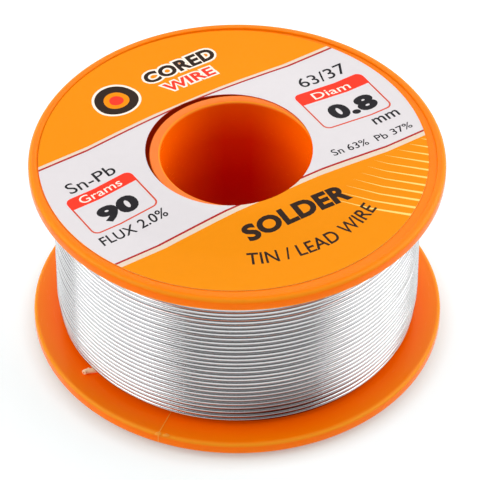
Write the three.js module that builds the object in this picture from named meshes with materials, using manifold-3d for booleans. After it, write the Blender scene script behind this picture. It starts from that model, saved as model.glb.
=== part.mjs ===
// A 62 mm spool of 0.8 mm flux-cored solder wire, in millimetres, +Z up.
// The origin is on the spool's axis, in the plane of the lower end of its hub.
import * as THREE from "three";
import { mergeVertices } from "three/addons/utils/BufferGeometryUtils.js";
import Module from "manifold-3d";

const wasm = await Module();
wasm.setup();

// The reel.
const HEIGHT = 33.1; // over the two ends of the hub
const HUB_PROUD = 0.8; // how far each end of the hub stands out past the rims
const RIM_R = 31;
const FLANGE_T = 2.2;
const RECESS_R = 29.6; // the label's shallow seat inside the raised rim
const RECESS_DEPTH = 0.3;
const BORE_R = 11.4;
const HUB_R = 13;
const BARREL_INNER_R = 22.3;
const BARREL_R = 23.8;
const WEB_T = 1.2; // the disc at mid-height that joins the hub to the barrel
const FACETS = 72;

// The wire.
const WIRE_D = 0.8;
const CORE_D = 0.3;
const LAYERS = 5;
const LAYER_STEP = 0.7; // each layer lies in the grooves of the one below
const LAYER_GAP = 0.04;
const TAIL_ROOM = 0.9; // the winding stands this far off the lower flange, above the wire's start
const TAIL_FOOT = [-19.25, -15.39]; // where the wire's start goes in under the first turn
const TAIL_TIP = [-23.38, -15.99];
const END_START_ANGLE = 40; // degrees from +X
const END_SWEEP = 62;
const END_REACH = 29.2;
const CORE_CLEARANCE = 0.02;

// The labels.
const LABEL_T = 0.12;
const LABEL_R = 28.95;
const TOP_LABEL_SHIFT = [-0.55, 0.3];
const TOP_HOLE_R = 12.43;
const TOP_HOLE_SHIFT = [-1.2, 0.66];
const LOWER_HOLE_R = 13.2;
const GLUE_GAP = 0.02;

const MIDDLE = HEIGHT / 2;
const LOWER_FACE = HUB_PROUD + FLANGE_T; // the lower flange's inner face
const UPPER_FACE = HEIGHT - LOWER_FACE;
const SEAT_TOP = HEIGHT - HUB_PROUD - RECESS_DEPTH; // the floor of the upper label's seat

const radians = THREE.MathUtils.degToRad;

// The moulding, the wire's sheath, the wire's core, and the labels.
const plastic = { color: 0xf4610b, roughness: 0.32, metalness: 0 };
const alloy = { color: 0xc9cacc, roughness: 0.28, metalness: 1 };
const resin = { color: 0xb9822f, roughness: 0.4, metalness: 0 };
const paper = { color: 0xf79a1e, roughness: 0.45, metalness: 0 };

function solidOf(geometry) {
  const bare = geometry.index ? geometry.toNonIndexed() : geometry.clone();
  bare.deleteAttribute("normal");
  bare.deleteAttribute("uv");
  const merged = mergeVertices(bare, 1e-4);
  return new wasm.Manifold(
    new wasm.Mesh({
      numProp: 3,
      vertProperties: merged.attributes.position.array,
      triVerts: new Uint32Array(merged.index.array),
    }),
  );
}

function geometryOf(solid) {
  const mesh = solid.getMesh();
  const geometry = new THREE.BufferGeometry();
  geometry.setAttribute("position", new THREE.BufferAttribute(mesh.vertProperties, 3));
  geometry.setIndex(new THREE.BufferAttribute(mesh.triVerts, 1));
  geometry.computeVertexNormals();
  return geometry;
}

// The outline through the corners [radius, height, rounding], with each rounded corner as an arc.
function roundedOutline(corners, arcSteps = 3) {
  const points = [];
  corners.forEach(([r, z, rounding = 0], i) => {
    const corner = new THREE.Vector2(r, z);
    if (!rounding) {
      points.push(corner);
      return;
    }
    const before = new THREE.Vector2(...corners.at(i - 1)).sub(corner).normalize();
    const after = new THREE.Vector2(...corners[(i + 1) % corners.length]).sub(corner).normalize();
    const half = Math.acos(before.dot(after)) / 2;
    const centre = before.clone().add(after).normalize();
    centre.multiplyScalar(rounding / Math.sin(half)).add(corner);
    const reach = rounding / Math.tan(half);
    const first = before.multiplyScalar(reach).add(corner).sub(centre);
    const last = after.multiplyScalar(reach).add(corner).sub(centre);
    const turn = Math.atan2(first.cross(last), first.dot(last));
    for (let k = 0; k <= arcSteps; k += 1) {
      points.push(first.clone().rotateAround(new THREE.Vector2(), (turn * k) / arcSteps).add(centre));
    }
  });
  return points;
}

// A closed outline in (radius, height) turned about Z. The corners run clockwise, as seen with +Z up.
function turned(corners, arcSteps) {
  const outline = roundedOutline(corners, arcSteps).reverse();
  outline.push(outline[0].clone());
  return new THREE.LatheGeometry(outline, FACETS).rotateX(Math.PI / 2);
}

function ring(innerR, outerR, low, high) {
  return turned([[innerR, low], [innerR, high], [outerR, high], [outerR, low]]);
}

function disc(radius, low, high, [x, y]) {
  const geometry = new THREE.CylinderGeometry(radius, radius, high - low, FACETS);
  return geometry.rotateX(Math.PI / 2).translate(x, y, (low + high) / 2);
}

function reelShape() {
  const rimTop = HEIGHT - HUB_PROUD;
  const upperHalf = [
    [BORE_R, HEIGHT, 0.5],
    [HUB_R, HEIGHT, 0.2],
    [HUB_R, MIDDLE + WEB_T / 2],
    [BARREL_INNER_R, MIDDLE + WEB_T / 2],
    [BARREL_INNER_R, SEAT_TOP],
    [RECESS_R, SEAT_TOP],
    [RECESS_R + 0.1, rimTop],
    [RIM_R, rimTop, 0.7],
    [RIM_R, UPPER_FACE, 0.5],
    [BARREL_R, UPPER_FACE],
  ];
  const lowerHalf = upperHalf.map(([r, z, rounding]) => [r, HEIGHT - z, rounding]).reverse();
  return turned([...upperHalf, ...lowerHalf]);
}

// The upper label lies on its seat, rises over the pocket and rests on the end of the hub.
function upperLabelShape() {
  const onHub = HEIGHT + GLUE_GAP;
  const onSeat = SEAT_TOP + GLUE_GAP;
  const sheet = solidOf(
    turned([
      [BORE_R - 2, onHub],
      [BORE_R - 2, onHub + LABEL_T],
      [HUB_R, onHub + LABEL_T],
      [BARREL_INNER_R, onSeat + LABEL_T],
      [RIM_R, onSeat + LABEL_T],
      [RIM_R, onSeat],
      [BARREL_INNER_R, onSeat],
      [HUB_R, onHub],
    ]),
  );
  const outline = solidOf(disc(LABEL_R, 0, 2 * HEIGHT, TOP_LABEL_SHIFT));
  const hole = solidOf(disc(TOP_HOLE_R, 0, 2 * HEIGHT, TOP_HOLE_SHIFT));
  return geometryOf(sheet.intersect(outline).subtract(hole));
}

function lowerLabelShape() {
  const top = HEIGHT - SEAT_TOP - GLUE_GAP;
  return ring(LOWER_HOLE_R, LABEL_R, top - LABEL_T, top);
}

function layerShape(index) {
  const centre = BARREL_R + WIRE_D / 2 + index * LAYER_STEP;
  const inner = index === 0 ? BARREL_R + LAYER_GAP : centre - LAYER_STEP / 2 + LAYER_GAP / 2;
  const outer = index === LAYERS - 1 ? centre + WIRE_D / 2 : centre + LAYER_STEP / 2 - LAYER_GAP / 2;
  return ring(inner, outer, LOWER_FACE + TAIL_ROOM, UPPER_FACE - LAYER_GAP);
}

function polar(radius, degrees, z) {
  const angle = radians(degrees);
  return new THREE.Vector3(radius * Math.cos(angle), radius * Math.sin(angle), z);
}

// The wire's start lies on the lower flange, from near the barrel out to just past the winding.
function startCurve() {
  const z = LOWER_FACE + WIRE_D / 2 + 0.03;
  return new THREE.LineCurve3(new THREE.Vector3(...TAIL_FOOT, z), new THREE.Vector3(...TAIL_TIP, z));
}

// The wire's free end stands a little off the last turn, under the upper flange.
function endCurve() {
  const outside = BARREL_R + WIRE_D + (LAYERS - 1) * LAYER_STEP + WIRE_D / 2 + 0.06;
  const points = [];
  for (let k = 0; k <= 8; k += 1) {
    const share = k / 8;
    const radius = THREE.MathUtils.lerp(outside, END_REACH, share * share);
    points.push(polar(radius, END_START_ANGLE + END_SWEEP * share, UPPER_FACE - WIRE_D));
  }
  return new THREE.CatmullRomCurve3(points);
}

function circlePath(shape, radius, sides) {
  for (let k = 0; k < sides; k += 1) {
    const angle = (2 * Math.PI * k) / sides;
    const step = k === 0 ? "moveTo" : "lineTo";
    shape[step](radius * Math.cos(angle), radius * Math.sin(angle));
  }
  return shape;
}

function sheathShape(curve, steps) {
  const section = circlePath(new THREE.Shape(), WIRE_D / 2, 8);
  section.holes.push(circlePath(new THREE.Path(), CORE_D / 2 + CORE_CLEARANCE, 8));
  return new THREE.ExtrudeGeometry(section, { steps, bevelEnabled: false, extrudePath: curve });
}

function coreShape(curve, steps) {
  const section = circlePath(new THREE.Shape(), CORE_D / 2, 8);
  return new THREE.ExtrudeGeometry(section, { steps, bevelEnabled: false, extrudePath: curve });
}

const group = new THREE.Group();

function place(name, geometry, look) {
  const mesh = new THREE.Mesh(geometry, new THREE.MeshStandardMaterial(look));
  mesh.name = name;
  group.add(mesh);
}

place("reel", reelShape(), plastic);
for (let index = 0; index < LAYERS; index += 1) {
  place(`solder_layer_${index + 1}`, layerShape(index), alloy);
}
place("wire_start", sheathShape(startCurve(), 2), alloy);
place("flux_core_start", coreShape(startCurve(), 2), resin);
place("wire_free_end", sheathShape(endCurve(), 24), alloy);
place("flux_core_free_end", coreShape(endCurve(), 24), resin);
place("upper_label", upperLabelShape(), paper);
place("lower_label", lowerLabelShape(), paper);

export default group;
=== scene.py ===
"""Looks for a 62 mm spool of 0.8 mm flux-cored solder wire.

Lengths are in millimetres. Only the camera, the lamps, the depths of bumps and the reach of light under a
surface are in metres.
"""

import bpy
import numpy as np
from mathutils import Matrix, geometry


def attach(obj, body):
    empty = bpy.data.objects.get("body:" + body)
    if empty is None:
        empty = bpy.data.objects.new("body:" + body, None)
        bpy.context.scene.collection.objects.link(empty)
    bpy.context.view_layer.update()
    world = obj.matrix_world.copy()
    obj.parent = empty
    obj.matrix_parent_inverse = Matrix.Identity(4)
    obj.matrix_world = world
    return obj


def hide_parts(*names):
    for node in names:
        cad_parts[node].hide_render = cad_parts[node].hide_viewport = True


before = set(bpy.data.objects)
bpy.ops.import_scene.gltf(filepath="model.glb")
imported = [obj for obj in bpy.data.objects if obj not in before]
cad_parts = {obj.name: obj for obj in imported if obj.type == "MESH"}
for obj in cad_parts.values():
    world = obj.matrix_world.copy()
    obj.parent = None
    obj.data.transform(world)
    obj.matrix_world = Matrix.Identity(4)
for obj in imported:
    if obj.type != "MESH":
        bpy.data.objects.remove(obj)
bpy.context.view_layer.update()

MM = 0.001

# The reel, as the frame has it.
HEIGHT = 33.1  # over the two ends of the hub
HUB_PROUD = 0.8  # how far each end of the hub stands out past the rims
RIM_R = 31.0
RIM_T = 2.2
SEAT_R = 29.6  # of the label's shallow seat inside the raised rim
SEAT_DEPTH = 0.3
BORE_R = 11.4
HUB_R = 13.0
BARREL_INNER_R = 22.3
BARREL_R = 23.8
WEB_T = 1.2  # the disc at mid-height that joins the hub to the barrel

MIDDLE = HEIGHT / 2
RIM_TOP = HEIGHT - HUB_PROUD
SEAT_TOP = RIM_TOP - SEAT_DEPTH
UPPER_FACE = RIM_TOP - RIM_T  # the upper flange's inner face
LOWER_FACE = HEIGHT - UPPER_FACE

# The parting lines of its mould, and the specks of flash beside one of them.
PARTING_ANGLES = (-112.2, 67.8)
FLASH_LIFT = 0.05  # how far a parting line and its flash stand out
FLASH_NUBS = ((-11.7, -28.6, 0.4), (-10.6, -28.9, 0.36))  # x, y, radius

# The wire, and the way that its turns lie.
WIRE_R = 0.4
CORE_R = 0.15
LAYERS = 5
FIRST_LAYER_R = 24.2
LAYER_STEP = 0.7
PITCH = 0.832  # of the turns, which don't quite touch
LOW_Z = 4.2  # of the lowest turn
HIGH_Z = 29.66  # of the highest turn
CLIMB_TURNS = 0.12  # the wire's way up onto each layer
SUNK = 0.085  # how far, for each layer, its lowest turns have sunk in
SPREAD = 0.32  # how far the lowest turns have spread down
SPREAD_ANGLE = -72.0
RIDE = 0.16  # how far the lowest turns ride up over the wire's start
RIDE_ANGLE = -141.5
WANDER_OUT = 0.045
WANDER_UP = 0.035
SIDES = 12
INNER_RINGS = 48  # rings of the tube in each turn of the hidden layers
OUTER_RINGS = 132

# The wire's start: a bent tip, a straight stretch, and a bend into the first turn.
TAIL_HOOK = 48.0  # how far the tip is bent
TAIL_HOOK_R = 0.9
TAIL_STRAIGHT = 2.8
TAIL_SLANT = 57.0  # from the first turn's direction
TAIL_BEND_R = 1.6
TAIL_JOIN_ANGLE = -138.7  # where it runs into the first turn
TAIL_Z = 3.43
TAIL_RISE_TURNS = 0.11  # the way from there up to the lowest turn's height
TAIL_RINGS = 32  # the tube's first rings, which take the dull material with its painted flange light

# The wire's free end.
END_ANGLE = 40.0
END_SWEEP = 62.0
END_REACH = 29.2
END_Z = 29.3

# The labels.
LABEL_T = 0.12
LABEL_R = 28.95
LABEL_TURN = np.radians(32.8)  # of the print, about the axis
TOP_SHIFT = (-0.55, 0.3)  # of the upper label, off the axis
TOP_HOLE_R = 12.43
TOP_HOLE_SHIFT = (-1.2, 0.66)
LOWER_HOLE_R = 13.2
GLUE_GAP = 0.02


def camera():
    data = bpy.data.cameras.new("camera")
    data.lens = 316.3
    data.sensor_width = 36.0
    data.clip_start = 0.01
    data.clip_end = 20.0
    cam = bpy.data.objects.new("camera", data)
    cam.location = (0.0, -0.46686, 0.44729)
    down, yaw = 42.765, -0.0514
    cam.rotation_euler = (np.radians(90 - down), 0.0, np.radians(yaw))
    bpy.context.scene.collection.objects.link(cam)
    bpy.context.scene.camera = cam


# ---------------------------------------------------------------- meshes and curves


def new_object(name, verts, faces, smooth_angle=None):
    """An object from vertices in millimetres, smooth but for edges sharper than smooth_angle degrees."""
    mesh = bpy.data.meshes.new(name)
    mesh.from_pydata((np.asarray(verts, float) * MM).tolist(), [], [list(f) for f in faces])
    mesh.validate()
    mesh.shade_smooth()
    if smooth_angle is not None:
        mesh.set_sharp_from_angle(angle=np.radians(smooth_angle))
    obj = bpy.data.objects.new(name, mesh)
    bpy.context.scene.collection.objects.link(obj)
    return obj


def ease(x):
    """0 up to x = 0, 1 from x = 1 on, and a smooth way between."""
    x = np.clip(x, 0.0, 1.0)
    return x * x * (3 - 2 * x)


def falloff(x, reach):
    """1 at x = 0, and a smooth way down on both sides of it."""
    return np.exp(-((x / reach) ** 2))


def smooth_noise(x, seed, period):
    """Noise along a line, from -1 to 1, smooth and the same on each run."""
    cells = 4096
    table = np.random.default_rng(seed).uniform(-1, 1, cells)
    x = np.asarray(x, float) / period
    cell = np.floor(x).astype(int)
    return table[cell % cells] + (table[(cell + 1) % cells] - table[cell % cells]) * ease(x - cell)


def unit(vectors):
    """The rows of vectors, each one long."""
    return vectors / np.linalg.norm(vectors, axis=1)[:, None]


def turned(x, y, angle):
    return x * np.cos(angle) - y * np.sin(angle), x * np.sin(angle) + y * np.cos(angle)


def cylindrical(radius, angle, z):
    return np.stack([radius * np.cos(angle), radius * np.sin(angle), z], -1)


def degrees_past(degrees, start):
    """The turn from start to degrees, from -180 to 180."""
    return (degrees - start + 180) % 360 - 180


def tube_frames(path):
    """The directions along, sideways and up at each point of path."""
    tangent = unit(np.gradient(path, axis=0))
    up = unit(np.array([0.0, 0.0, 1.0]) - tangent * tangent[:, 2:3])
    return tangent, np.cross(up, tangent), up


def tube_verts(spine, side, up, radii, sides):
    phi = 2 * np.pi * np.arange(sides) / sides
    ring = side[:, None] * np.cos(phi)[:, None] + up[:, None] * np.sin(phi)[:, None]
    return (spine[:, None] + ring * np.asarray(radii)[:, None, None]).reshape(-1, 3)


def tube_faces(count, sides):
    """The faces of a tube with count rings, closed at both ends."""
    i = np.arange(count - 1)[:, None] * sides
    j = np.arange(sides)
    k = (j + 1) % sides
    walls = np.stack([i + j, i + k, i + k + sides, i + j + sides], -1).reshape(-1, 4)
    last = (count - 1) * sides
    return walls.tolist() + [j[::-1].tolist(), (j + last).tolist()]


# ---------------------------------------------------------------- the wire


def tail_path():
    """From the wire's cut start, in over the flange and round into the first turn.
    It is laid out where the first turn crosses the X axis, and then turned to its place."""
    slant = np.radians(TAIL_SLANT)
    heading = np.array([-np.sin(slant), np.cos(slant)])
    bend = [
        (FIRST_LAYER_R + TAIL_BEND_R * (1 - np.cos(a)), -TAIL_BEND_R * np.sin(a))
        for a in np.linspace(slant, 0, 12)
    ]
    straight = [bend[0] - heading * far for far in np.linspace(TAIL_STRAIGHT, 0, 12)[:-1]]
    first = np.arctan2(heading[1], heading[0])
    centre = straight[0] + TAIL_HOOK_R * np.array([heading[1], -heading[0]])
    hook = [
        centre + TAIL_HOOK_R * np.array([-np.sin(a), np.cos(a)])
        for a in np.linspace(first + np.radians(TAIL_HOOK), first, 9)[:-1]
    ]
    x, y = turned(*np.array(hook + straight + bend).T, np.radians(TAIL_JOIN_ANGLE))
    return np.stack([x, y, np.full(len(x), TAIL_Z)], 1)


def winding_path(first_angle):
    """The turns, from first_angle on, layer upon layer."""
    whole = np.round((HIGH_Z - LOW_Z) / PITCH * LAYERS)
    turns = whole + ((END_ANGLE - first_angle) % 360) / 360
    layer_turns = (turns - TAIL_RISE_TURNS) / LAYERS
    fine_lead = 0.2  # the finer rings start this many turns before the top layer
    outer_start = turns - layer_turns - fine_lead
    inner = np.arange(0, outer_start, 1 / INNER_RINGS)[1:]
    outer = np.arange(outer_start, turns, 1 / OUTER_RINGS)
    at = np.concatenate([inner, outer])  # how many turns in each point is

    along = np.clip((at - TAIL_RISE_TURNS) / layer_turns, 0, LAYERS - 1e-9)
    layer = np.floor(along)
    share = along - layer
    z = LOW_Z + (HIGH_Z - LOW_Z) * np.where(layer % 2 == 0, share, 1 - share)
    rise = TAIL_Z + (LOW_Z - TAIL_Z) * ease(at / TAIL_RISE_TURNS)
    z = np.where(at < TAIL_RISE_TURNS, rise, z)
    climb = np.where(layer > 0, ease(share * layer_turns / CLIMB_TURNS), 1.0)
    radius = FIRST_LAYER_R + LAYER_STEP * (layer - 1 + climb)
    degrees = first_angle + 360 * at
    height = (z - LOW_Z) / PITCH  # in turns above the lowest one

    # The lowest turns have sunk in between their neighbours, and the outer ones have spread at the front,
    # each effect fading over a few turns.
    radius -= SUNK * layer * falloff(height, 2.2)
    facing = np.cos(np.radians(degrees - SPREAD_ANGLE))
    spread = ease((facing - 0.55) / 0.4)
    z -= np.where(layer == LAYERS - 1, SPREAD * spread * falloff(height, 2.6), 0.0)

    # They ride over the wire's start where it goes in under them.
    beside = np.radians(degrees_past(degrees, RIDE_ANGLE)) * radius
    z += np.where(at > 0.5, RIDE * falloff(beside, 2.4) * falloff(height, 1.6), 0.0)

    # The outer turns wander a little.
    wander = ease((at - outer_start - fine_lead) / 0.3)
    z += wander * WANDER_UP * smooth_noise(at, 5, 0.23)
    radius += wander * WANDER_OUT * smooth_noise(at, 6, 0.31)
    return cylindrical(radius, np.radians(degrees), z)


def end_path(start):
    """The free end, which bends out from the last turn."""
    share = np.linspace(0, 1, 48)[1:]
    first_r = np.hypot(start[0], start[1])
    radius = first_r + (END_REACH - first_r) * share**2
    z = start[2] + (END_Z - start[2]) * ease(share * 3)
    return cylindrical(radius, np.radians(END_ANGLE + END_SWEEP * share), z)


def wire_piece(path):
    """A tube along path whose two cut ends are hollow for a short way, where the flux core shows."""
    depth, chamfer, core_room = 1.2, 0.06, 0.01
    tangent, side, up = tube_frames(path)
    head = path[0] + tangent[0] * depth
    tail = path[-1] - tangent[-1] * depth
    spine = np.concatenate([[head, path[0], path[0]], path, [path[-1], path[-1], tail]])
    spine[3] += tangent[0] * chamfer
    spine[-4] -= tangent[-1] * chamfer
    hollow, cut = CORE_R + core_room, WIRE_R - chamfer
    radii = [hollow, hollow, cut] + [WIRE_R] * len(path) + [cut, hollow, hollow]
    order = [0, 0, 0, *range(len(path)), -1, -1, -1]
    faces = tube_faces(len(spine), SIDES)
    wire = new_object("solder_wire", tube_verts(spine, side[order], up[order], radii, SIDES), faces, 50)
    dull = np.zeros(len(faces), np.int32)
    dull[: TAIL_RINGS * SIDES] = 1
    wire.data.polygons.foreach_set("material_index", dull)
    return wire


def core_piece(name, tip, inward):
    """The resin thread in a cut end, its tip slightly sunk and domed."""
    sides = 16
    depths = np.array([1.15, 0.9, 0.5, 0.12, 0.07, 0.05])
    radii = np.array([1, 1, 1, 1, 0.75, 0.35]) * CORE_R
    path = tip + inward * depths[:, None]
    _, side, up = tube_frames(path)
    return new_object(name, tube_verts(path, side, up, radii, sides), tube_faces(len(path), sides), 40)


# ---------------------------------------------------------------- the reel


def rounded_outline(corners, arc_steps=6):
    """The outline through the corners (radius, height, rounding), with each rounded corner as an arc."""
    points = []
    for i, (r, z, rounding) in enumerate(corners):
        corner = np.array([r, z])
        if not rounding:
            points.append(corner)
            continue
        before = np.array(corners[i - 1][:2]) - corner
        after = np.array(corners[(i + 1) % len(corners)][:2]) - corner
        before /= np.linalg.norm(before)
        after /= np.linalg.norm(after)
        half = np.arccos(np.clip(before @ after, -1, 1)) / 2
        middle = before + after
        centre = corner + middle / np.linalg.norm(middle) * rounding / np.sin(half)
        reach = rounding / np.tan(half)
        first = corner + before * reach - centre
        last = corner + after * reach - centre
        turn = np.arctan2(first[0] * last[1] - first[1] * last[0], first @ last)
        points += [centre + turned(*first, turn * k / arc_steps) for k in range(arc_steps + 1)]
    return np.array(points)


def left_of(edges):
    """The unit vectors square to the edges, on their left."""
    return unit(np.stack([-edges[:, 1], edges[:, 0]], 1))


def reel_angles():
    """Even steps round the reel, with close ones at each parting line."""
    even = np.arange(0, 360, 1.25)
    near = []
    for line in PARTING_ANGLES:
        even = even[np.abs(degrees_past(even, line)) > 0.45]
        near += [line + beside for beside in (-0.3, -0.1, 0.0, 0.1, 0.3)]
    return np.sort(np.concatenate([even, np.array(near) % 360]))


def reel_piece():
    half = [
        (BORE_R, HEIGHT, 0.5),
        (HUB_R, HEIGHT, 0.22),
        (HUB_R, MIDDLE + WEB_T / 2, 0.4),
        (BARREL_INNER_R, MIDDLE + WEB_T / 2, 0.4),
        (BARREL_INNER_R, SEAT_TOP, 0.15),
        (SEAT_R, SEAT_TOP, 0.06),
        (SEAT_R + 0.1, RIM_TOP, 0.16),
        (RIM_R, RIM_TOP, 0.75),
        (RIM_R, UPPER_FACE, 0.55),
        (BARREL_R, UPPER_FACE, 0.0),
    ]
    other = [(r, HEIGHT - z, rounding) for r, z, rounding in reversed(half)]
    outline = rounded_outline(half + other)

    # The mould's side cores leave a fine ridge across the channel's walls and the rims.
    outward = left_of(np.roll(outline, -1, 0) - np.roll(outline, 1, 0))
    from_axis, from_middle = outline[:, 0], np.abs(outline[:, 1] - MIDDLE)
    in_channel = (from_axis > BARREL_R - 0.1) & (from_middle < UPPER_FACE - MIDDLE + 0.1)
    round_rims = (from_axis > RIM_R - 0.8) & (from_middle < RIM_TOP - MIDDLE - 0.4)
    ridge = outward * (in_channel | round_rims)[:, None] * FLASH_LIFT

    angles = reel_angles()
    rings = []
    for angle in angles:
        on_line = min(abs(degrees_past(angle, line)) for line in PARTING_ANGLES) < 0.05
        r, z = (outline + ridge * on_line).T
        rings.append(cylindrical(r, np.radians(angle), z))
    faces = []
    count = len(outline)
    for i in range(len(angles)):
        here, there = i * count, (i + 1) % len(angles) * count
        for j in range(count):
            k = (j + 1) % count
            faces.append((here + j, here + k, there + k, there + j))
    return new_object("reel_moulding", np.concatenate(rings), faces, 32)


def flash_line(name, degrees):
    """The sliver of flash on the parting line, over the lower flange's inner face and down its rim."""
    corners = [(BARREL_R + 1.0, LOWER_FACE, 0), (RIM_R, LOWER_FACE, 0.55), (RIM_R, HUB_PROUD + 0.5, 0)]
    route = rounded_outline(corners, 8)
    outward = left_of(np.gradient(route, axis=0))
    half_widths = 0.1 + 0.03 * smooth_noise(np.arange(len(route)), 8, 1.7)
    section = ((1.0, -FLASH_LIFT), (0.3, FLASH_LIFT), (-0.3, FLASH_LIFT), (-1.0, -FLASH_LIFT))
    verts = []
    for (r, z), (out_r, out_z), half in zip(route, outward, half_widths):
        for across, lift in section:
            angle = np.radians(degrees) + across * half / r
            verts.append(cylindrical(r + out_r * lift, angle, z + out_z * lift))
    return new_object(name, verts, tube_faces(len(route), len(section)), 60)


def flash_nub(name, x, y, size, seed):
    """A speck of flash left on the lower flange."""
    sides = 14
    foot = LOWER_FACE - 0.04
    path = np.array([[x, y, foot + h] for h in (0.0, 0.06, 0.12, 0.17)])
    path[:, :2] += np.random.default_rng(seed).uniform(-0.04, 0.04, (4, 2))
    radii = size * np.array([1.0, 0.95, 0.7, 0.3])
    phi = 2 * np.pi * np.arange(sides) / sides
    bumps = 1 + 0.25 * smooth_noise(phi * 2, seed, 1.3)
    bumps[-1] = bumps[0]
    ring = np.stack([1.3 * bumps * np.cos(phi), 0.8 * bumps * np.sin(phi), 0.0 * phi], 1)
    verts = (path[:, None] + radii[:, None, None] * ring).reshape(-1, 3)
    return new_object(name, verts, tube_faces(len(path), sides), 60)


# ---------------------------------------------------------------- the printed labels

ORANGE, WHITE, CREAM, LINE_RED, RED, OUTLINE, BLACK, PALE, BROWN, RAY, PAPER = range(11)
CAP_HEIGHT = 0.7  # of plain capitals, in units of the font size


def circle(x, y, radius, count=180):
    a = 2 * np.pi * np.arange(count) / count
    return np.stack([x + radius * np.cos(a), y + radius * np.sin(a)], 1)


def rectangle(x0, y0, x1, y1):
    return np.array([[x0, y0], [x1, y0], [x1, y1], [x0, y1]], float)


def corner_arc(x, y, radius, first):
    """A quarter circle about (x, y), from first degrees on."""
    a = np.radians(np.linspace(first, first + 90, 7))
    return np.stack([x + radius * np.cos(a), y + radius * np.sin(a)], 1)


def tab(x0, y0, x1, y1, radius):
    """A rectangle whose two upper corners are rounded."""
    right = corner_arc(x1 - radius, y1 - radius, radius, 0)
    left = corner_arc(x0 + radius, y1 - radius, radius, 90)
    return np.concatenate([[(x1, y0)], right, left, [(x0, y0)]])


def rounded_rectangle(x0, y0, x1, y1, radius):
    upper = tab(x0, y0, x1, y1, radius)[1:-1]
    left = corner_arc(x0 + radius, y0 + radius, radius, 180)
    right = corner_arc(x1 - radius, y0 + radius, radius, 270)
    return np.concatenate([upper, left, right])


def text_loops(body, spacing):
    """The outlines of a line of plain lettering, one unit of font size high, as closed loops."""
    data = bpy.data.curves.new("lettering", "FONT")
    data.body = body
    data.space_character = spacing
    data.fill_mode = "NONE"
    data.resolution_u = 4
    obj = bpy.data.objects.new("lettering", data)
    bpy.context.scene.collection.objects.link(obj)
    depsgraph = bpy.context.evaluated_depsgraph_get()
    mesh = obj.evaluated_get(depsgraph).to_mesh()
    points = np.array([v.co[:2] for v in mesh.vertices])
    beside = {}
    for edge in mesh.edges:
        a, b = edge.vertices
        beside.setdefault(a, []).append(b)
        beside.setdefault(b, []).append(a)
    bpy.data.objects.remove(obj)
    bpy.data.curves.remove(data)
    loops, seen = [], set()
    for first in sorted(beside):
        if first in seen:
            continue
        loop = [first]
        seen.add(first)
        here = min(beside[first], key=lambda k: abs(k - first - 1))
        while here not in seen:
            loop.append(here)
            seen.add(here)
            here = next((k for k in beside[here] if k not in seen), first)
        loops.append(points[loop])
    return loops


def grown(loops, amount):
    """The loops moved away from what they fill, with square corners."""
    areas = [np.sum(p[:, 0] * np.roll(p[:, 1], -1) - np.roll(p[:, 0], -1) * p[:, 1]) for p in loops]
    way = amount * np.sign(max(areas, key=abs))
    moved = []
    for loop in loops:
        loop = loop[np.linalg.norm(np.roll(loop, -1, 0) - loop, axis=1) > 1e-5]
        normal = -left_of(np.roll(loop, -1, 0) - loop)
        before = np.roll(normal, 1, 0)
        stretch = np.maximum(1 + (normal * before).sum(1), 0.5)
        moved.append(loop + way * (normal + before) / stretch[:, None])
    return moved


def text(body, left, right, base, cap, bold, halo=0.0):
    """Lettering from left to right, standing on base, with capitals cap high.
    bold thickens its strokes, and halo grows it once more, without moving it."""
    bare = text_loops(body, 1 + 1.2 * bold)
    measure = np.concatenate(grown(bare, bold))
    low, high = measure.min(0), measure.max(0)
    scale = np.array([(right - left) / (high[0] - low[0]), cap / (CAP_HEIGHT + 2 * bold)])
    return [(loop - [low[0], -bold]) * scale + [left, base] for loop in grown(bare, bold + halo)]


def on_arc(loops, radius):
    """Lettering laid round the lower part of a circle, its feet outward."""
    laid = []
    for loop in loops:
        angle = -np.pi / 2 + loop[:, 0] / radius
        reach = radius - loop[:, 1]
        laid.append(np.stack([reach * np.cos(angle), reach * np.sin(angle)], 1))
    return laid


def stripe(ink, low, high):
    """A band of ink from edge to edge of the label, and past them."""
    return ink, [rectangle(-32, low, 32, high)]


def value_box(x0, y0, x1, y1, header, title, title_span, value, value_span):
    """A rounded box, filled from header up, its title in the header and its value below it."""
    rounding, line = 1.1, 0.27
    return [
        (OUTLINE, [rounded_rectangle(x0, y0, x1, y1, rounding)]),
        (WHITE, [rounded_rectangle(x0 + line, y0 + line, x1 - line, y1 - line, 0.85)]),
        (RED, [tab(x0, header, x1, y1, rounding)]),
        (PALE, text(title, *title_span, header + 0.45, 1.6, 0.004)),
        (BLACK, text(value, *value_span, y0 + 1.25, 3.45, 0.06)),
    ]


def rays():
    """Fine tapering lines that run out to the label's edge at its lower right."""
    slope = np.array([0.69, -0.724])
    across = np.array([0.724, 0.69])
    outer_r = 29.2  # a little past the label's edge
    highest = -11.2  # that a ray's inner end may reach
    art = []
    for k in range(11):
        edge_angle = np.radians(-58.8 + 3.36 * k)
        end = outer_r * np.array([np.cos(edge_angle), np.sin(edge_angle)])
        length = min(13.6 - 0.72 * k, (highest - end[1]) / -slope[1])
        width = 0.25 - 0.01 * k
        corners = [end - slope * length, end - across * width, end + across * width]
        art.append((RAY, [np.array(corners)]))
    return art


def badge(x, y):
    """A plain disc in a ring."""
    discs = ((PALE, 3.75), (BROWN, 3.35), (ORANGE, 1.95), (RED, 1.1))
    return [(ink, [circle(x, y, radius)]) for ink, radius in discs]


def rimmed(ink, body, *place):
    """Lettering with a pale rim round it."""
    return [(PALE, text(body, *place, halo=0.1)), (ink, text(body, *place))]


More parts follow.
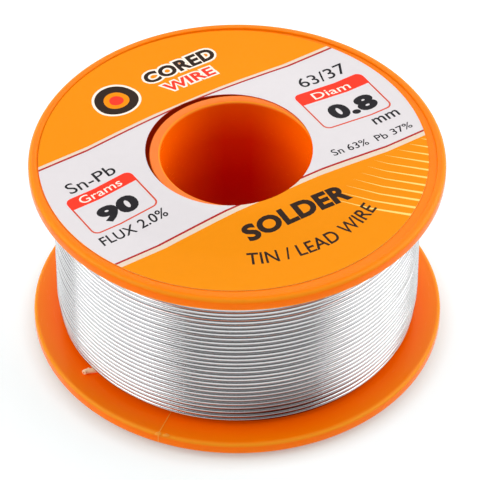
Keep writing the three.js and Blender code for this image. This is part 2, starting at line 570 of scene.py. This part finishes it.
def artwork():
    """The label's print in the order that it is laid down, each as its ink and loops, in the frame of the
    label before it is turned."""
    return [
        stripe(CREAM, -10.95, 14.1),
        stripe(WHITE, -9.95, 13.4),
        stripe(LINE_RED, 13.22, 13.57),
        stripe(LINE_RED, -10.11, -9.76),
        (BLACK, text("Sn-Pb", -24.9, -16.9, 6.35, 2.3, 0.006)),
        (BLACK, text("FLUX 2.0%", -26.6, -15.5, -5.8, 1.9, 0.014)),
        (BLACK, text("63/37", 16.6, 24.9, 7.4, 2.35, 0.006)),
        (BLACK, text("mm", 21.4, 25.9, -5.1, 2.1, 0.014)),
        (BLACK, text("Sn 63%  Pb 37%", 11.7, 25.9, -8.4, 1.35, 0.01)),
        *value_box(-26.6, -3.1, -15.4, 5.6, 3.2, "Grams", (-24.6, -17.6), "90", (-24.0, -17.6)),
        *value_box(13.9, -2.9, 26.1, 6.3, 3.55, "Diam", (16.6, 23.1), "0.8", (16.5, 24.6)),
        *rays(),
        (BROWN, text("SOLDER", -8.6, 9.3, -17.0, 3.3, 0.05)),
        (BROWN, on_arc(text("TIN / LEAD WIRE", -11.9, 11.7, 0.0, 2.35, 0.014), 23.3)),
        *badge(-8.3, 20.6),
        *rimmed(BROWN, "CORED", -2.2, 10.0, 21.0, 2.7, 0.045),
        *rimmed(RED, "WIRE", -0.9, 7.6, 17.4, 2.3, 0.035),
    ]


def inside(points, loops):
    """True for each point that the loops wind round."""
    wind = np.zeros(len(points), int)
    for loop in loops:
        low, high = loop.min(0), loop.max(0)
        near = np.flatnonzero(((points >= low) & (points <= high)).all(1))
        if not len(near):
            continue
        p = points[near]
        a, b = loop, np.roll(loop, -1, 0)
        side = (b[:, 0] - a[:, 0]) * (p[:, 1:] - a[:, 1]) - (p[:, :1] - a[:, 0]) * (b[:, 1] - a[:, 1])
        rising = (a[:, 1] <= p[:, 1:]) & (b[:, 1] > p[:, 1:]) & (side > 0)
        falling = (a[:, 1] > p[:, 1:]) & (b[:, 1] <= p[:, 1:]) & (side < 0)
        wind[near] += rising.sum(1) - falling.sum(1)
    return wind != 0


def cut_sheet(outline, hole, folds, art):
    """The flat label cut along its folds and every edge of its print, as points and triangles,
    and the ink of each triangle."""
    points, edges = [], []
    for loop in [outline, hole, *folds, *(loop for _, group in art for loop in group)]:
        first = len(points)
        points += loop.tolist()
        edges += [(first + k, first + (k + 1) % len(loop)) for k in range(len(loop))]
    flat, _, faces, *_ = geometry.delaunay_2d_cdt(points, edges, [], 0, 1e-5)
    flat = np.array([tuple(p) for p in flat])
    faces = np.array(faces)
    centres = flat[faces].mean(1)
    kept = inside(centres, [outline]) & ~inside(centres, [hole])
    faces, centres = faces[kept], centres[kept]
    ink = np.zeros(len(faces), int)
    for colour, group in art:
        ink[inside(centres, group)] = colour
    used, renumbered = np.unique(faces, return_inverse=True)
    return flat[used], renumbered.reshape(-1, 3), ink


def label_piece(name, shift, hole_shift, hole_r, fold_radii, art, level, side):
    """A thin closed sheet, each colour of its print as faces of its own. level gives the height of its
    printed face at a distance from the axis, and side is 1 for the label at the top and -1 below."""
    outline = circle(*turned(*shift, -LABEL_TURN), LABEL_R, 240)
    hole = circle(*turned(*hole_shift, -LABEL_TURN), hole_r)
    flat, faces, ink = cut_sheet(outline, hole, [circle(0, 0, r, 144) for r in fold_radii], art)
    x, y = turned(*flat.T, LABEL_TURN)
    z = level(np.hypot(*flat.T))
    front = np.stack([x * side, y, z], 1)
    back = front - [0, 0, side * LABEL_T]

    count = len(flat)
    edges = faces[:, [[0, 1], [1, 2], [2, 0]]].reshape(-1, 2)
    _, where, times = np.unique(np.sort(edges, axis=1), axis=0, return_index=True, return_counts=True)
    rim = edges[where[times == 1]]
    sheet = [*faces, *(faces[:, ::-1] + count)]
    sheet += [(b, a, a + count, b + count) for a, b in rim]
    piece = new_object(name, np.concatenate([front, back]), sheet, 25)
    # The cut edges are painted: the outer one in the pale ray ink as a painted highlight, and the hole's
    # in the dark outline ink as a painted shadow.
    cut = np.where(np.hypot(*flat[rim[:, 0]].T) > BARREL_INNER_R, RAY, OUTLINE)
    slots = np.concatenate([ink, np.full(len(faces), PAPER), cut])
    piece.data.polygons.foreach_set("material_index", slots.astype(np.int32))
    piece.data.update()
    return piece


def upper_level(radius):
    top = LABEL_T + GLUE_GAP
    return np.interp(radius, [HUB_R, BARREL_INNER_R], [HEIGHT + top, SEAT_TOP + top])


def lower_level(radius):
    return np.full(len(radius), HEIGHT - SEAT_TOP - GLUE_GAP - LABEL_T)


# ---------------------------------------------------------------- materials


class Nodes:
    """A new material's nodes, made and linked in short calls."""

    def __init__(self, name):
        self.material = bpy.data.materials.new(name)
        self.material.use_nodes = True
        self.tree = self.material.node_tree
        self.shader = self.tree.nodes["Principled BSDF"]

    def fill(self, socket, value):
        if isinstance(value, bpy.types.NodeSocket):
            self.tree.links.new(value, socket)
        else:
            socket.default_value = value

    def add(self, kind, inputs=None, **settings):
        node = self.tree.nodes.new(kind)
        for key, value in settings.items():
            setattr(node, key, value)
        for key, value in (inputs or {}).items():
            self.fill(node.inputs[key], value)
        return node

    def set(self, **inputs):
        for key, value in inputs.items():
            self.fill(self.shader.inputs[key.replace("_", " ").title().replace("Ior", "IOR")], value)

    def place(self):
        return self.add("ShaderNodeTexCoord").outputs["Object"]

    def parts(self, vector):
        return self.add("ShaderNodeSeparateXYZ", {"Vector": vector}).outputs

    def vector(self, **parts):
        return self.add("ShaderNodeCombineXYZ", parts).outputs["Vector"]

    def length(self, vector):
        return self.add("ShaderNodeVectorMath", {0: vector}, operation="LENGTH").outputs["Value"]

    def noise(self, vector, scale, detail=3.0, roughness=0.5):
        inputs = {"Vector": vector, "Scale": scale, "Detail": detail, "Roughness": roughness}
        return self.add("ShaderNodeTexNoise", inputs).outputs["Fac"]

    def spread(self, value, start, end, low=0.0, high=1.0):
        """low up to where value is start, high from end on, and an even way between."""
        inputs = {"Value": value, "From Min": start, "From Max": end, "To Min": low, "To Max": high}
        return self.add("ShaderNodeMapRange", inputs).outputs["Result"]

    def ramp(self, distance, start, end, low=0.0, high=1.0):
        """The same, with start and end in millimetres."""
        return self.spread(distance, start * MM, end * MM, low, high)

    def math(self, operation, *values):
        """The operation on one or two values, or on two and then on the result and each further one."""
        result = self.add("ShaderNodeMath", dict(enumerate(values[:2])), operation=operation).outputs[0]
        return self.math(operation, result, *values[2:]) if len(values) > 2 else result

    def blend(self, factor, first, second):
        node = self.add("ShaderNodeMix", {"Factor": factor}, data_type="RGBA")
        for socket, value in ((node.inputs[6], first), (node.inputs[7], second)):
            self.fill(socket, (*value, 1.0) if isinstance(value, tuple) else value)
        return node.outputs[2]

    def bump(self, height, distance, strength=1.0, normal=None):
        inputs = {"Height": height, "Distance": distance, "Strength": strength}
        if normal is not None:
            inputs["Normal"] = normal
        return self.add("ShaderNodeBump", inputs).outputs["Normal"]


def linear(red, green, blue):
    """A colour given in 0 to 255 screen values."""
    c = np.array([red, green, blue]) / 255
    return tuple(float(v) for v in np.where(c <= 0.04045, c / 12.92, ((c + 0.055) / 1.055) ** 2.4))


PLASTIC_GLOSS = {"ior": 1.5, "specular_ior_level": 0.14, "specular_tint": (1.0, 0.66, 0.36, 1.0)}


def plastic_material():
    """Orange plastic that lets a little light through. Its colour also holds painted shade and light:
    painted deep red down the bore, in the channel towards the wire and on the rims' outer faces, a painted
    red glow there and in the pockets round the hub, and painted highlights, paler, along the rims' edges,
    on the bore's lip and on the hub's ends."""
    n = Nodes("orange_plastic")
    at = n.place()
    parts = n.parts(at)
    radius = n.length(n.vector(X=parts["X"], Y=parts["Y"]))
    sideways = n.math("ABSOLUTE", parts["X"])
    away = n.math("ABSOLUTE", n.math("SUBTRACT", parts["Z"], MIDDLE * MM))  # from mid-height
    flange_face = UPPER_FACE - MIDDLE

    # Down inside the bore: painted shade, deepest on the walls before and behind, and a painted glow on
    # the walls at the sides.
    inside_bore = n.ramp(radius, BORE_R + 0.2, BORE_R + 0.02)
    before_behind = n.ramp(sideways, 2.0, 11.0, 1.0, 0.34)
    bore = n.math("MULTIPLY", inside_bore, n.ramp(away, 16, 9, 0.6, 1.0), before_behind)
    bore_side_painted_glow = n.math("MULTIPLY", inside_bore, n.ramp(sideways, 4, 11, 0.08, 0.22), n.ramp(away, 2, 14))
    # Painted shade and a painted red glow on the flanges, more and more towards the wire, and on the
    # barrel.
    under_wire = 26.8
    by_wire = n.ramp(radius, RIM_R, under_wire, 0.0, 0.55)
    past_barrel = n.ramp(radius, BARREL_R - 0.5, BARREL_R - 0.1)
    between = n.ramp(away, flange_face + 0.35, flange_face + 0.05)
    channel = n.math("MULTIPLY", by_wire, past_barrel, between)
    # The rims' outer faces, painted a deeper red with a painted red glow, and their rounded edges, painted
    # paler as a painted highlight.
    rim = n.ramp(radius, RIM_R - 0.7, RIM_R - 0.1)
    off_middle = n.math("ABSOLUTE", n.math("SUBTRACT", away, (flange_face + RIM_T / 2) * MM))
    edge = n.math("MULTIPLY", rim, n.ramp(off_middle, 0.5, 0.95))
    face = n.math("MULTIPLY", rim, n.ramp(off_middle, 0.4, 0.8, 0.15, 0.0))
    # The hub's ends, and the rounded lip of the bore, which is painted paler as a painted highlight.
    hub_end = n.ramp(away, MIDDLE - 0.45, MIDDLE - 0.15)
    lip = n.math("MULTIPLY", hub_end, n.ramp(radius, BORE_R + 0.35, BORE_R + 0.2))
    # A faint painted red glow in the pockets round the hub, standing in for light through its thin wall.
    off_hub = n.ramp(radius, HUB_R - 0.3, HUB_R - 0.05)
    off_barrel = n.ramp(radius, BARREL_INNER_R + 0.2, BARREL_INNER_R - 0.1)
    pocket = n.math("MULTIPLY", off_hub, off_barrel, n.ramp(away, MIDDLE - 0.65, MIDDLE - 2.05, 0.0, 0.04))

    colour = n.blend(n.noise(at, 60.0, 2.0), (0.95, 0.195, 0.0), (0.98, 0.22, 0.0))
    # The hub's ends are painted a touch paler: a painted sheen.
    colour = n.blend(hub_end, colour, (0.95, 0.2, 0.03))
    # Painted highlights: the rims' rounded edges and the bore's lip are paler.
    colour = n.blend(n.math("MAXIMUM", edge, lip), colour, (1.0, 0.35, 0.02))
    # Painted shade: deep red down the bore, in the channel and on the rims' outer faces.
    n.set(base_color=n.blend(n.math("MAXIMUM", bore, channel, face), colour, (0.66, 0.006, 0.0)))
    # The emission is painted light: a red glow in the channel, on the rims' faces, on the bore's side
    # walls and in the pockets.
    channel_painted_glow, rim_face_painted_glow = n.math("MULTIPLY", channel, 0.45), n.math("MULTIPLY", face, 0.9)
    glow = n.math("MAXIMUM", channel_painted_glow, rim_face_painted_glow, bore_side_painted_glow, pocket)
    n.set(emission_color=(1.0, 0.1, 0.0, 1.0), emission_strength=glow)

    # Handling marks: fine scratches that run round the rims, and a mottled gloss.
    turn = n.math("MULTIPLY", n.math("ARCTAN2", parts["Y"], parts["X"]), 0.0022)
    round_rim = n.noise(n.vector(X=turn, Y=radius, Z=parts["Z"]), 5200.0, 2.0)
    scratches = n.spread(round_rim, 0.62, 0.72, 0.0, 0.16)
    mottle = n.spread(n.noise(at, 900.0, 4.0, 0.6), 0.3, 0.7, 0.13, 0.23)
    n.set(roughness=n.math("ADD", mottle, scratches), **PLASTIC_GLOSS)
    n.set(subsurface_weight=0.12, subsurface_radius=(1.0, 0.25, 0.05), subsurface_scale=0.0012)
    waves = n.bump(n.noise(at, 420.0, 2.0), 0.00002, 0.25)
    n.set(normal=n.bump(scratches, 0.00001, 0.3, waves))
    return n.material


def flash_material():
    """Flash painted paler than the moulding: a painted highlight for the light that thin flash catches and
    lets through.
    """
    n = Nodes("orange_flash_painted_highlight")
    cloud = n.noise(n.place(), 2000.0, 2.0)
    n.set(base_color=n.blend(cloud, (1.0, 0.34, 0.03), (1.0, 0.44, 0.08)), roughness=0.3, **PLASTIC_GLOSS)
    return n.material


def solder_material():
    n = Nodes("bright_solder")
    at = n.place()
    colour = n.blend(n.noise(at, 120.0, 3.0), (0.63, 0.625, 0.63), (0.7, 0.695, 0.7))
    # The undersides are painted darker, a painted shade. At the right front, where the lowest turns have
    # spread, the flange's red is painted on the undersides of the lowest turns, a painted reflection.
    parts = n.parts(at)
    facing_up = n.parts(n.add("ShaderNodeTexCoord").outputs["Normal"])["Z"]
    low = n.math("MULTIPLY", n.ramp(parts["Z"], 12, 6), n.spread(facing_up, 0.6, 0.1))
    across = n.math("MULTIPLY", n.ramp(parts["X"], -8, 5), n.ramp(parts["X"], 21, 11))
    right_front = n.math("MULTIPLY", across, n.ramp(parts["Y"], 0, -10))
    # Painted shade: the undersides darker.
    colour = n.blend(n.spread(facing_up, 0.3, -0.3), colour, (0.53, 0.54, 0.55))
    # Painted reflection of the flange's red on the lowest turns at the right front.
    colour = n.blend(n.math("MULTIPLY", low, right_front), colour, (0.13, 0.035, 0.025))
    scuff = n.noise(at, 3500.0, 3.0, 0.65)
    n.set(base_color=colour, metallic=1.0, roughness=n.spread(scuff, 0.3, 0.7, 0.15, 0.22))
    n.set(normal=n.bump(scuff, 0.000004, 0.25))
    return n.material


def dull_solder_material():
    """The wire's start, handled and scraped. Its peach tint is partly flux residue and partly a painted
    reflection of the orange flange, and its faint glow is painted light from the flange under it.
    """
    n = Nodes("dull_solder")
    scuff = n.noise(n.place(), 3500.0, 3.0, 0.65)
    n.set(base_color=n.blend(scuff, (1.0, 0.62, 0.34), (1.0, 0.8, 0.56)), roughness=0.35)
    n.set(normal=n.bump(scuff, 0.000006, 0.5))
    # Painted light: a faint warm glow from the flange under it.
    n.set(emission_color=(1.0, 0.42, 0.18, 1.0), emission_strength=0.12)
    return n.material


def flux_material():
    n = Nodes("amber_flux")
    cloud = n.noise(n.place(), 4000.0, 3.0)
    n.set(base_color=n.blend(cloud, (0.42, 0.2, 0.04), (0.6, 0.33, 0.08)))
    n.set(roughness=n.spread(cloud, 0.3, 0.7, 0.25, 0.45), ior=1.54)
    return n.material


def ink_material(name, colour):
    """Ink on coated paper: a little mottled, with the paper's faint tooth under it."""
    n = Nodes(name)
    at = n.place()
    light = tuple(min(1.0, c * 1.02) for c in colour)
    dark = tuple(c * 0.965 for c in colour)
    n.set(base_color=n.blend(n.noise(at, 700.0, 5.0, 0.65), dark, light))
    n.set(roughness=n.spread(n.noise(at, 1500.0), 0.3, 0.7, 0.42, 0.55), specular_ior_level=0.06)
    n.set(normal=n.bump(n.noise(at, 5200.0, 2.0), 0.000008, 0.5))
    return n.material


def ink_materials():
    """The materials of a label, in the order that the inks are numbered in."""
    colours = {
        "ink_orange": (238, 141, 0),
        "ink_white": (219, 214, 216),
        "ink_cream": (227, 207, 186),
        "ink_line_red": (176, 44, 44),
        "ink_red": (252, 58, 38),
        "ink_outline": (214, 84, 60),
        "ink_black": (36, 34, 38),
        "ink_pale": (252, 236, 222),
        "ink_brown": (48, 34, 26),
        "ink_ray": (255, 216, 118),
        "paper_back": (236, 232, 226),
    }
    return [ink_material(name, linear(*rgb)) for name, rgb in colours.items()]


def floor_material():
    """A pale floor that glows evenly away from the spool, its glow fading out under and beside the spool
    in a painted shadow, and painted cooler by the spool against the orange light that it throws.
    """
    n = Nodes("pale_floor")
    at = n.place()
    far_off = n.blend(n.noise(at, 3.0, 2.0), (0.58, 0.6, 0.605), (0.6, 0.62, 0.625))
    apart = n.length(at)
    n.set(base_color=n.blend(n.ramp(apart, 29, 50), (0.512, 0.6, 0.608), far_off))
    n.set(roughness=0.9, specular_ior_level=0.0)
    # Painted shadow: the glow fades out under and just beside the spool.
    n.set(emission_color=(1.0, 1.0, 1.0, 1.0), emission_strength=n.ramp(apart, 24, 33.5, 0.0, 0.5))
    return n.material


# ---------------------------------------------------------------- the studio


def floor_piece():
    half = 2500.0
    level = -0.02  # just clear of the hub's end
    verts = [(-half, -half, level), (half, -half, level), (half, half, level), (-half, half, level)]
    floor = new_object("floor", verts, [(0, 1, 2, 3)])
    floor.data.materials.append(floor_material())


def softbox(name, azimuth, elevation, width, height, power):
    """A lamp one metre from the spool's middle, facing it. Sizes are in metres."""
    data = bpy.data.lights.new(name, "AREA")
    data.shape = "RECTANGLE"
    data.size = width
    data.size_y = height
    data.energy = power
    light = bpy.data.objects.new(name, data)
    a, e = np.radians(azimuth), np.radians(elevation)
    spool_middle = np.array([0, 0, 0.016])
    light.location = spool_middle + [np.cos(e) * np.cos(a), np.cos(e) * np.sin(a), np.sin(e)]
    light.rotation_euler = (np.radians(90 - elevation), 0, np.radians(azimuth + 90))
    bpy.context.scene.collection.objects.link(light)


def studio():
    world = bpy.data.worlds.new("studio")
    world.use_nodes = True
    tree = world.node_tree
    direction = tree.nodes.new("ShaderNodeTexCoord")
    parts = tree.nodes.new("ShaderNodeSeparateXYZ")
    tree.links.new(direction.outputs["Generated"], parts.inputs["Vector"])
    # The room is dimmer towards the viewer's side.
    level = tree.nodes.new("ShaderNodeMapRange")
    for name, value in (("From Min", -0.8), ("From Max", 0.1), ("To Min", 0.14), ("To Max", 0.55)):
        level.inputs[name].default_value = value
    tree.links.new(parts.outputs["Y"], level.inputs["Value"])
    tree.links.new(level.outputs["Result"], tree.nodes["Background"].inputs["Strength"])
    tree.nodes["Background"].inputs["Color"].default_value = (1, 1, 1, 1)
    bpy.context.scene.world = world
    bpy.context.scene.view_settings.view_transform = "Standard"
    softbox("softbox_left", 194, 36, 1.05, 0.8, 5.8)
    softbox("softbox_right", 8, 36, 1.2, 0.8, 6.5)
    softbox("softbox_back", 90, 44, 1.2, 0.6, 3.6)


# ---------------------------------------------------------------- assembly


def dress(piece, materials, slot, *nodes):
    for material in materials:
        piece.data.materials.append(material)
    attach(piece, "root")
    if nodes:
        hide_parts(*nodes)


def add_wire():
    tail = tail_path()
    first_angle = np.degrees(np.arctan2(tail[-1][1], tail[-1][0]))
    winding = winding_path(first_angle)
    path = np.concatenate([tail, winding, end_path(winding[-1])])
    solid = [f"solder_layer_{k + 1}" for k in range(LAYERS)] + ["wire_start", "wire_free_end"]
    dress(wire_piece(path), [solder_material(), dull_solder_material()], "solder", *solid)
    flux = flux_material()
    tangent, _, _ = tube_frames(path)
    dress(core_piece("flux_core_start_end", path[0], tangent[0]), [flux], "flux", "flux_core_start")
    dress(core_piece("flux_core_free_tip", path[-1], -tangent[-1]), [flux], "flux", "flux_core_free_end")


def add_reel():
    dress(reel_piece(), [plastic_material()], "reel_plastic", "reel")
    flash = flash_material()
    for k, angle in enumerate(PARTING_ANGLES):
        dress(flash_line(f"flash_line_{k + 1}", angle), [flash], "reel_plastic")
    for k, nub in enumerate(FLASH_NUBS):
        dress(flash_nub(f"flash_nub_{k + 1}", *nub, 3 + k), [flash], "reel_plastic")


def add_labels():
    inks = ink_materials()
    art = artwork()
    folds = (HUB_R, 13.8, 15.2, 17.0, 19.0, 21.0, BARREL_INNER_R)
    upper = label_piece(
        "upper_label_print", TOP_SHIFT, TOP_HOLE_SHIFT, TOP_HOLE_R, folds, art, upper_level, 1
    )
    dress(upper, inks, "label_paper", "upper_label")
    lower = label_piece(
        "lower_label_print", (0, 0), (0, 0), LOWER_HOLE_R, (BARREL_INNER_R,), art, lower_level, -1
    )
    dress(lower, inks, "label_paper", "lower_label")


camera()
add_wire()
add_reel()
add_labels()
floor_piece()
studio()
